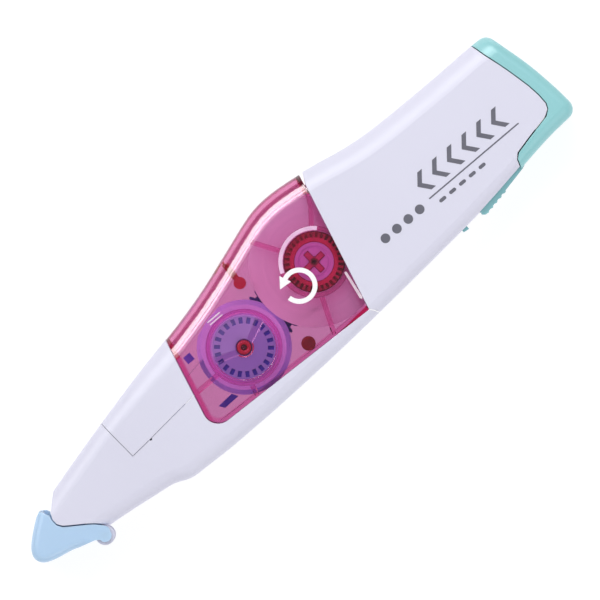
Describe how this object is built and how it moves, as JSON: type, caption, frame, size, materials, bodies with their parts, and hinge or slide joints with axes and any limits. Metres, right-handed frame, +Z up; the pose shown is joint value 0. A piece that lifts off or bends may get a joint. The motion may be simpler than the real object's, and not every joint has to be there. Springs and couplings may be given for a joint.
{
  "type": "correction tape roller",
  "caption": "Pen-type refillable correction tape roller with clear magenta reel window, hinged tip cap, press roller, pull-off rear grip and mint release slide.",
  "frame": {"origin": "centre of the footprint on the flat face it lies on", "axes": "+X from the tip to the tail, +Z up from the face it lies on, +Y towards the humped long side over the reels"},
  "size_m": [0.1369, 0.0327, 0.015],
  "materials": {
    "white_shell": "satin moulded",
    "clear_magenta": "clear tinted",
    "crimson": "moulded",
    "dark_blue": "moulded",
    "frame_blue": "moulded",
    "steel": "plain",
    "white_tape": "coated tape",
    "carrier_film": "thin film",
    "gear_violet": "moulded",
    "core_rose": "moulded",
    "reel_violet": "moulded",
    "dial_violet": "moulded",
    "roller_white": "moulded",
    "cap_blue": "satin moulded",
    "mint": "satin moulded"
  },
  "bodies": {
    "front_unit": {"front_shell_upper": "white_shell", "front_shell_lower": "white_shell", "nose_cover": "white_shell", "case_cover_upper": "clear_magenta", "case_cover_lower": "clear_magenta", "case_pegs": "crimson", "guide_blocks": "dark_blue", "head_frame": "frame_blue", "roller_pin": "steel", "fresh_tape_run": "white_tape", "used_tape_run": "carrier_film", "cap_hinge_pin": "cap_blue"},
    "supply_reel": {"supply_gear": "gear_violet", "clutch_ring": "steel", "tape_core": "core_rose", "tape_roll": "white_tape", "supply_tooth_ring": "crimson", "supply_snap_hub": "core_rose"},
    "takeup_reel": {"takeup_gear": "dark_blue", "takeup_spool": "reel_violet", "used_tape_winding": "carrier_film", "takeup_dial": "dark_blue", "dial_face": "dial_violet"},
    "idler": {"idler_gear": "dark_blue"},
    "tip_roller": {"press_roller": "roller_white"},
    "tip_cap": {"cap": "cap_blue"},
    "rear_grip": {"rear_shell_upper": "white_shell", "rear_shell_lower": "white_shell"},
    "tail_slide": {"release_slide": "mint"}
  },
  "joints": [
    {"name": "cap_hinge", "type": "hinge", "parent": "front_unit", "child": "tip_cap", "pos_m": [-0.055, -0.01355, 0.0075], "axis": [0, 0, 1], "range_deg": [0, 165]},
    {"name": "supply_spin", "type": "hinge", "parent": "front_unit", "child": "supply_reel", "pos_m": [0.0104, 0.00075, 0.0075], "axis": [0, 0, 1], "continuous": true},
    {"name": "takeup_spin", "type": "hinge", "parent": "front_unit", "child": "takeup_reel", "pos_m": [-0.01075, -0.00313, 0.0075], "axis": [0, 0, 1], "continuous": true},
    {"name": "idler_spin", "type": "hinge", "parent": "front_unit", "child": "idler", "pos_m": [-0.00189, -0.00151, 0.0031], "axis": [0, 0, 1], "continuous": true},
    {"name": "roller_spin", "type": "hinge", "parent": "front_unit", "child": "tip_roller", "pos_m": [-0.0639, -0.00805, 0.0075], "axis": [0, 0, 1], "continuous": true},
    {"name": "grip_pull", "type": "slide", "parent": "front_unit", "child": "rear_grip", "axis": [1, 0, 0], "range_m": [0, 0.04]},
    {"name": "release_pull", "type": "slide", "parent": "rear_grip", "child": "tail_slide", "axis": [1, 0, 0], "range_m": [0, 0.003]}
  ],
  "couplings": [
    {"joint": "takeup_spin", "follows": "supply_spin", "ratio": 1.875},
    {"joint": "idler_spin", "follows": "supply_spin", "ratio": -1.5}
  ]
}
